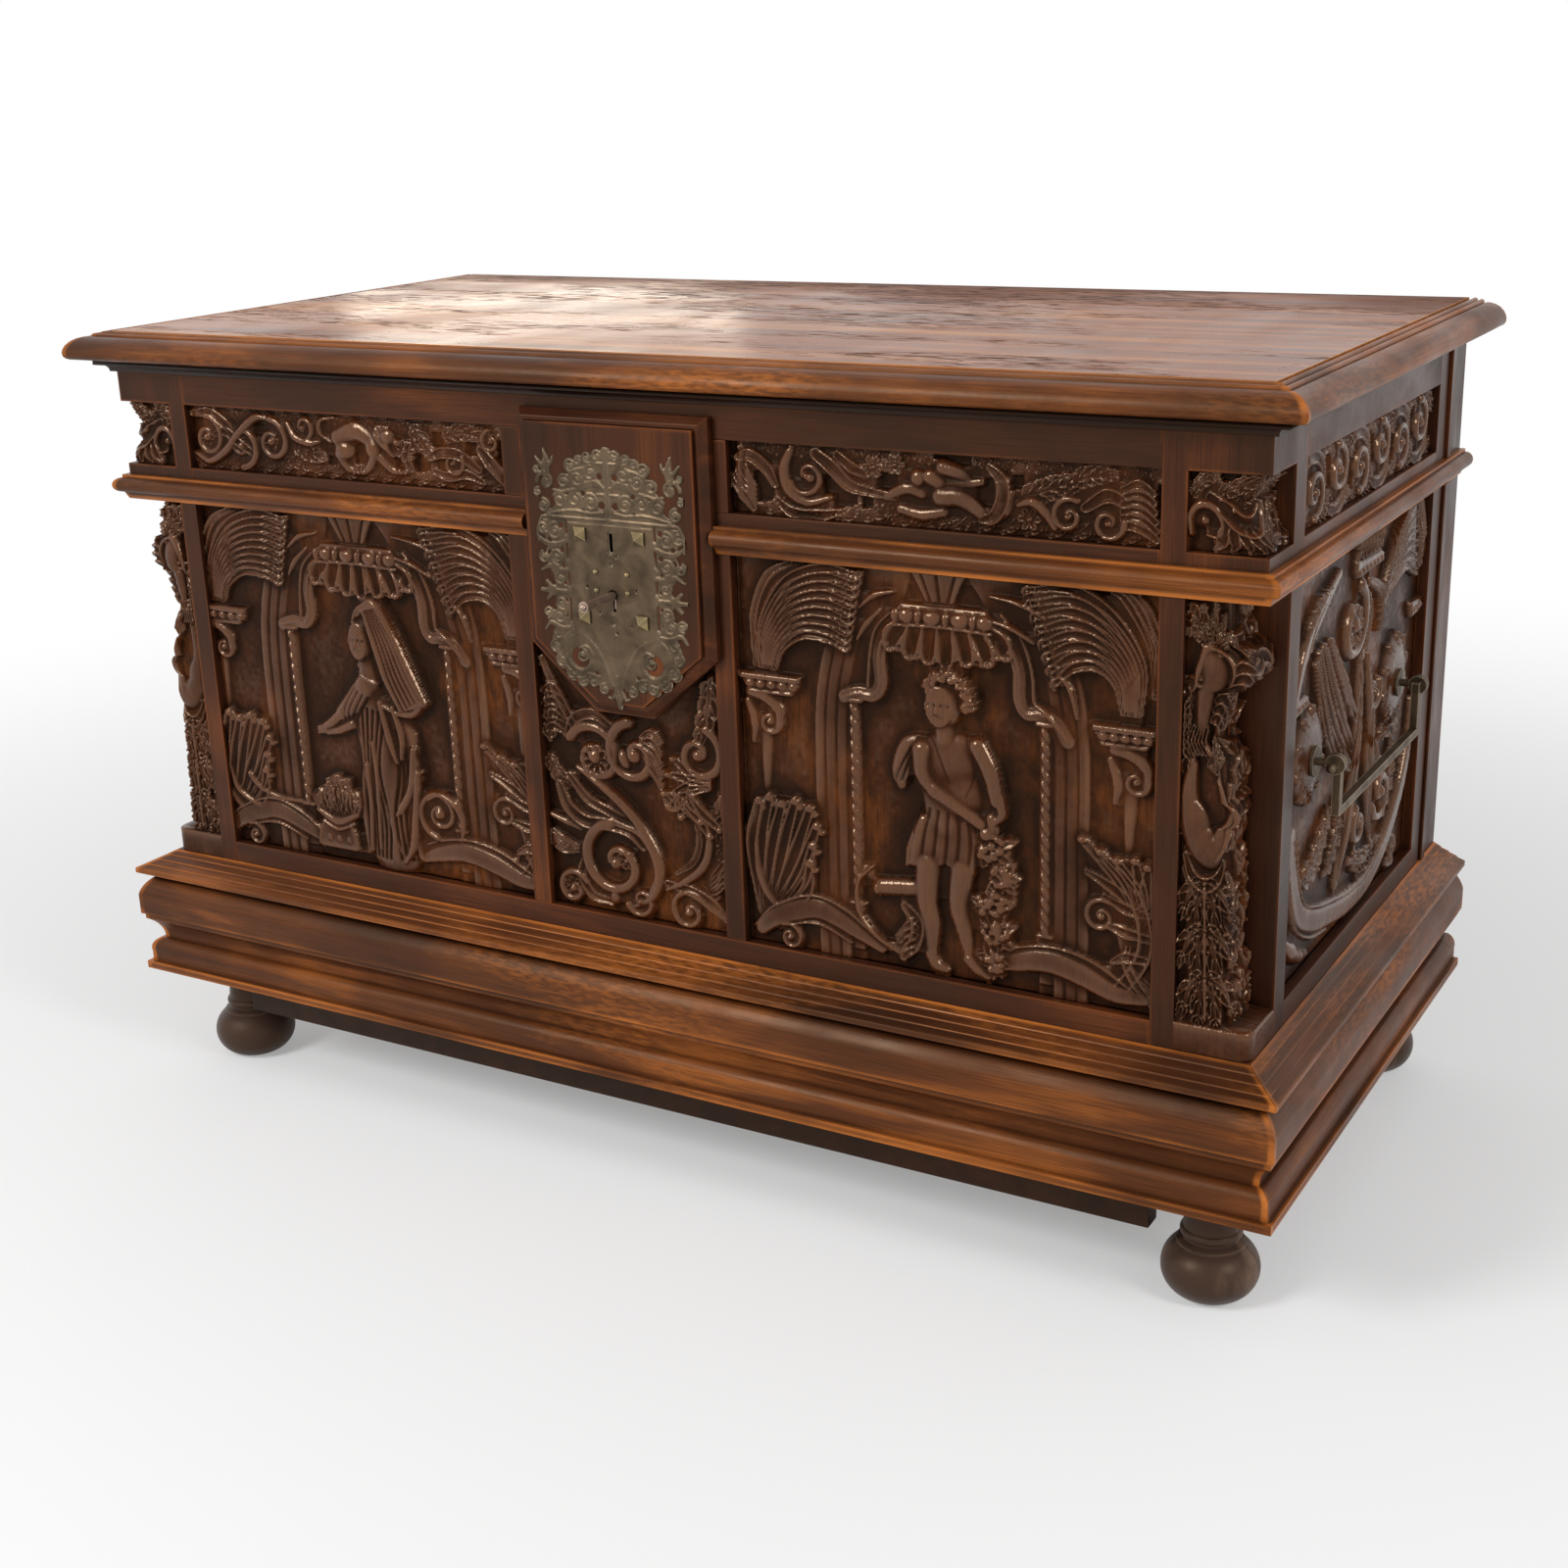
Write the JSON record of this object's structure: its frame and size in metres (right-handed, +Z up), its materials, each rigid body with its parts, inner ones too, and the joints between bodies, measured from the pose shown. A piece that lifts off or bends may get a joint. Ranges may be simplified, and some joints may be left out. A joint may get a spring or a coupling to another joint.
{
  "type": "cassone",
  "caption": "Carved walnut cassone: a panelled chest on bun feet with a hinged lid, an iron coffer lock with its key, and bail handles.",
  "frame": {"origin": "on the floor, under the middle of the object's box", "axes": "+X to the viewer's right along the front, +Y from the front towards the back, +Z up"},
  "size_m": [1.59, 0.8278, 0.9988],
  "materials": {
    "frame_walnut": "waxed dark walnut",
    "carved_walnut": "carved dark walnut, waxed to a gloss",
    "worn_moulding_walnut": "waxed walnut moulding, worn golden on its edges",
    "lid_top_walnut": "polished walnut with cracks and worm holes",
    "rough_wood": "rough dark secondary wood",
    "foot_wood": "turned wood, dark and rubbed",
    "engraved_iron": "engraved and pierced iron, brown patina",
    "forged_iron": "hand-forged iron, brown patina",
    "stud_brass": "dulled brass-coloured stud heads",
    "key_steel": "handled steel"
  },
  "bodies": {
    "chest": {"back_boards": "rough_wood", "back_posts": "frame_walnut", "back_rails": "rough_wood", "bottom_bearers": "rough_wood", "bottom_board": "rough_wood", "centre_apron": "frame_walnut", "centre_panel": "carved_walnut", "end_friezes": "carved_walnut", "end_panel_left": "carved_walnut", "end_panel_right": "carved_walnut", "end_rails_left": "frame_walnut", "end_rails_right": "frame_walnut", "foot_back_left": "foot_wood", "foot_back_right": "foot_wood", "foot_front_left": "foot_wood", "foot_front_right": "foot_wood", "frieze_block_left": "carved_walnut", "frieze_block_right": "carved_walnut", "frieze_panel_left": "carved_walnut", "frieze_panel_right": "carved_walnut", "front_bottom_rail": "frame_walnut", "front_middle_rail": "frame_walnut", "front_muntins": "frame_walnut", "front_panel_left": "carved_walnut", "front_panel_right": "carved_walnut", "front_post_left": "frame_walnut", "front_post_right": "frame_walnut", "front_top_rail": "frame_walnut", "handle_mounts": "forged_iron", "hinge_lower_leaves": "forged_iron", "hinge_pins": "forged_iron", "ledge_front": "worn_moulding_walnut", "ledge_left": "worn_moulding_walnut", "ledge_right": "worn_moulding_walnut", "lock_case": "forged_iron", "lock_plaque": "frame_walnut", "lock_plate": "engraved_iron", "pilaster_left": "carved_walnut", "pilaster_right": "carved_walnut", "plaque_moulding": "frame_walnut", "plate_studs": "stud_brass", "plinth_front": "worn_moulding_walnut", "plinth_left": "worn_moulding_walnut", "plinth_right": "worn_moulding_walnut", "side_beads": "frame_walnut", "string_front": "worn_moulding_walnut", "string_left": "worn_moulding_walnut", "string_right": "worn_moulding_walnut"},
    "lid": {"lid_boards": "lid_top_walnut", "lid_edge_front": "worn_moulding_walnut", "lid_edge_right": "worn_moulding_walnut", "lid_edge_left": "worn_moulding_walnut", "lid_under_frame": "rough_wood", "lid_battens": "rough_wood", "hinge_upper_leaves": "forged_iron"},
    "handle_right": {"handle_right": "forged_iron"},
    "handle_left": {"handle_left": "forged_iron"},
    "key": {"key": "key_steel"},
    "lock_bolt": {"lock_bolt": "forged_iron"}
  },
  "joints": [
    {"name": "lid_hinge", "type": "hinge", "parent": "chest", "child": "lid", "pos_m": [0, 0.40895, 0.94865], "axis": [-1, 0, 0], "range_deg": [0, 95]},
    {"name": "handle_right_swing", "type": "hinge", "parent": "chest", "child": "handle_right", "pos_m": [0.771, 0, 0.577], "axis": [0, -1, 0], "range_deg": [-10, 150]},
    {"name": "handle_left_swing", "type": "hinge", "parent": "chest", "child": "handle_left", "pos_m": [-0.771, 0, 0.577], "axis": [0, 1, 0], "range_deg": [-10, 150]},
    {"name": "key_turn", "type": "hinge", "parent": "chest", "child": "key", "pos_m": [0.009, -0.35395, 0.733], "axis": [0, 1, 0], "range_deg": [0, 40]},
    {"name": "bolt_slide", "type": "slide", "parent": "chest", "child": "lock_bolt", "axis": [-1, 0, 0], "range_m": [0, 0.013]}
  ],
  "couplings": [
    {"joint": "bolt_slide", "follows": "key_turn", "m_per_rad": 0.016}
  ]
}
